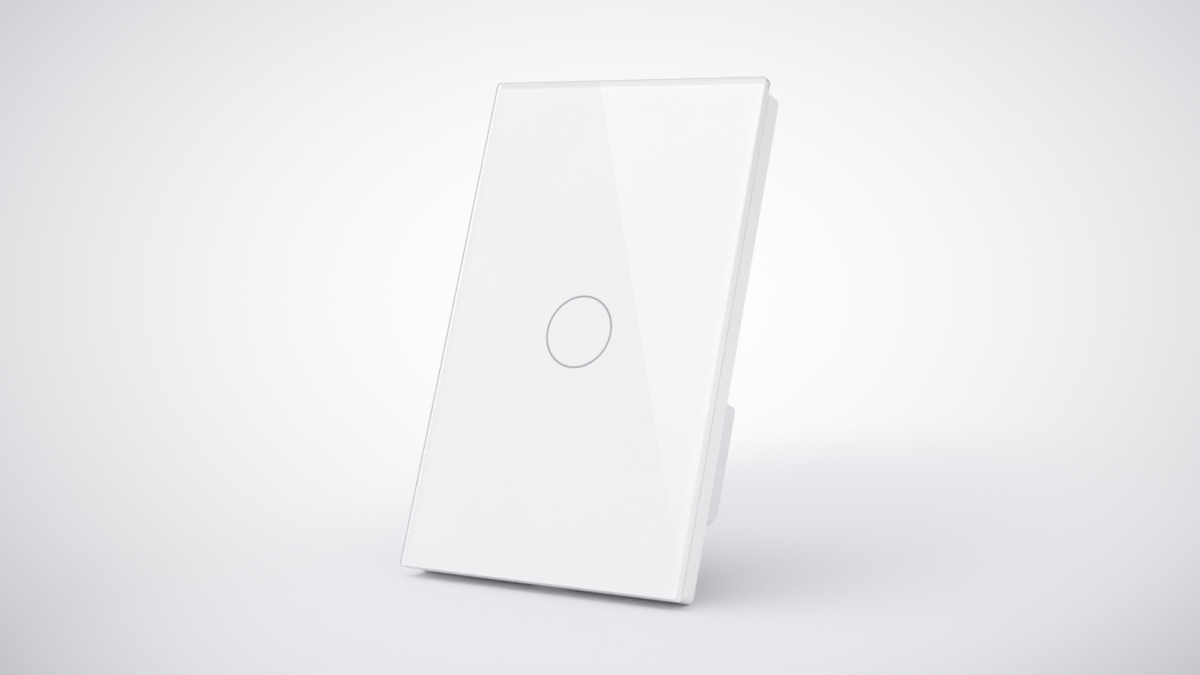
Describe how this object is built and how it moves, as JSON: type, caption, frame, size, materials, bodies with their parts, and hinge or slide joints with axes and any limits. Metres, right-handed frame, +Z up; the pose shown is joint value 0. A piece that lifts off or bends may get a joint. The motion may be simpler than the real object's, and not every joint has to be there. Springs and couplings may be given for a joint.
{
  "type": "smart light switch",
  "caption": "White glass touch switch for a wall box: flat upright panel with a round touch mark on a clip-on frame, over a base plate and a stepped rear housing with screw terminals.",
  "frame": {"origin": "centre of the wall plane, midway between the two wall-box screw holes", "axes": "+X right as seen from the room, +Y into the wall, +Z up"},
  "size_m": [0.072, 0.0333, 0.118],
  "materials": {
    "white_glass": "polished clear glass over a white print",
    "ring_grey": "grey fired enamel",
    "white_ink": "screen-printed white ink",
    "tape": "foam mounting tape",
    "white_abs": "fine moulded satin",
    "base_abs": "moulded satin",
    "housing_abs": "moulded flame-retardant plastic",
    "board_white": "white solder mask on glass laminate",
    "board_green": "green solder mask on glass laminate",
    "board_blue": "blue solder mask on glass laminate",
    "zinc_steel": "bright zinc plate",
    "spring_steel": "gold-flashed spring wire",
    "milky_acrylic": "milky diffusing acrylic",
    "lamp_epoxy": "clear epoxy over a phosphor",
    "black_epoxy": "moulded chip epoxy",
    "black_nylon": "glass-filled nylon",
    "button_nylon": "glossy nylon",
    "tinned_steel": "drawn tinplate",
    "gold_pin": "gold-flashed square pin",
    "terminal_pbt": "moulded PBT",
    "tinned_brass": "tinned brass",
    "relay_pbt": "smooth PBT",
    "soft_iron": "annealed iron",
    "bobbin_nylon": "natural nylon",
    "copper_winding": "enamelled copper wire",
    "contact_bronze": "rolled bronze with silver contact",
    "ferrite": "pressed ferrite",
    "winding_tape": "polyester winding tape",
    "capacitor_sleeve": "shrunk sleeve over an aluminium can",
    "capacitor_box": "boxed polypropylene",
    "varistor_dip": "dipped epoxy",
    "fuse_ceramic": "ceramic tube with metal caps"
  },
  "bodies": {
    "base": {"base_plate": "base_abs", "rear_housing": "housing_abs", "housing_screws": "zinc_steel", "touch_board": "board_white", "touch_board_screws": "zinc_steel", "touch_spring": "spring_steel", "light_guide_ring": "milky_acrylic", "indicator_leds": "lamp_epoxy", "touch_chip": "black_epoxy", "reset_switch_body": "black_nylon", "radio_board": "board_blue", "radio_shield": "tinned_steel", "pin_header": "black_nylon", "pin_socket": "black_nylon", "header_pins": "gold_pin", "power_board": "board_green", "power_board_screws": "zinc_steel", "terminal_block": "terminal_pbt", "terminal_tongues": "tinned_brass", "relay_base": "relay_pbt", "relay_case": "relay_pbt", "relay_yoke": "soft_iron", "relay_core": "soft_iron", "relay_bobbin": "bobbin_nylon", "relay_winding": "copper_winding", "fixed_contact": "contact_bronze", "transformer_core": "ferrite", "transformer_bobbin": "black_nylon", "transformer_winding": "winding_tape", "filter_capacitor": "capacitor_sleeve", "output_capacitor": "capacitor_sleeve", "safety_capacitor": "capacitor_box", "varistor": "varistor_dip", "fuse": "fuse_ceramic", "rectifier": "black_epoxy"},
    "front_panel": {"glass_panel": "white_glass", "touch_ring_mark": "ring_grey", "white_print": "white_ink", "panel_adhesive": "tape", "panel_frame": "white_abs"},
    "button": {"reset_button": "button_nylon"},
    "armature": {"relay_armature": "soft_iron", "moving_contact": "contact_bronze"},
    "screw_1": {"terminal_screw_1": "zinc_steel"},
    "clamp_1": {"wire_clamp_1": "tinned_brass"},
    "screw_2": {"terminal_screw_2": "zinc_steel"},
    "clamp_2": {"wire_clamp_2": "tinned_brass"},
    "screw_3": {"terminal_screw_3": "zinc_steel"},
    "clamp_3": {"wire_clamp_3": "tinned_brass"},
    "screw_4": {"terminal_screw_4": "zinc_steel"},
    "clamp_4": {"wire_clamp_4": "tinned_brass"}
  },
  "joints": [
    {"name": "panel_pull", "type": "slide", "parent": "base", "child": "front_panel", "axis": [0, -1, 0], "range_m": [0, 0.03]},
    {"name": "reset_press", "type": "slide", "parent": "base", "child": "button", "axis": [0, 1, 0], "range_m": [0, 0.00025], "stiffness_N_per_m": 3000},
    {"name": "armature_swing", "type": "hinge", "parent": "base", "child": "armature", "pos_m": [-0.0201, 0.01725, -0.0197], "axis": [0, 0, -1], "range_deg": [0, 5], "stiffness_Nm_per_rad": 0.01},
    {"name": "screw_turn_1", "type": "hinge", "parent": "base", "child": "screw_1", "pos_m": [-0.01143, 0.0182, -0.0322], "axis": [0, -1, 0], "range_deg": [0, 1440]},
    {"name": "clamp_rise_1", "type": "slide", "parent": "base", "child": "clamp_1", "axis": [0, 1, 0], "range_m": [0, 0.002]},
    {"name": "screw_turn_2", "type": "hinge", "parent": "base", "child": "screw_2", "pos_m": [-0.00381, 0.0182, -0.0322], "axis": [0, -1, 0], "range_deg": [0, 1440]},
    {"name": "clamp_rise_2", "type": "slide", "parent": "base", "child": "clamp_2", "axis": [0, 1, 0], "range_m": [0, 0.002]},
    {"name": "screw_turn_3", "type": "hinge", "parent": "base", "child": "screw_3", "pos_m": [0.00381, 0.0182, -0.0322], "axis": [0, -1, 0], "range_deg": [0, 1440]},
    {"name": "clamp_rise_3", "type": "slide", "parent": "base", "child": "clamp_3", "axis": [0, 1, 0], "range_m": [0, 0.002]},
    {"name": "screw_turn_4", "type": "hinge", "parent": "base", "child": "screw_4", "pos_m": [0.01143, 0.0182, -0.0322], "axis": [0, -1, 0], "range_deg": [0, 1440]},
    {"name": "clamp_rise_4", "type": "slide", "parent": "base", "child": "clamp_4", "axis": [0, 1, 0], "range_m": [0, 0.002]}
  ],
  "couplings": [
    {"joint": "screw_turn_1", "follows": "clamp_rise_1", "rad_per_m": 12566},
    {"joint": "screw_turn_2", "follows": "clamp_rise_2", "rad_per_m": 12566},
    {"joint": "screw_turn_3", "follows": "clamp_rise_3", "rad_per_m": 12566},
    {"joint": "screw_turn_4", "follows": "clamp_rise_4", "rad_per_m": 12566}
  ]
}
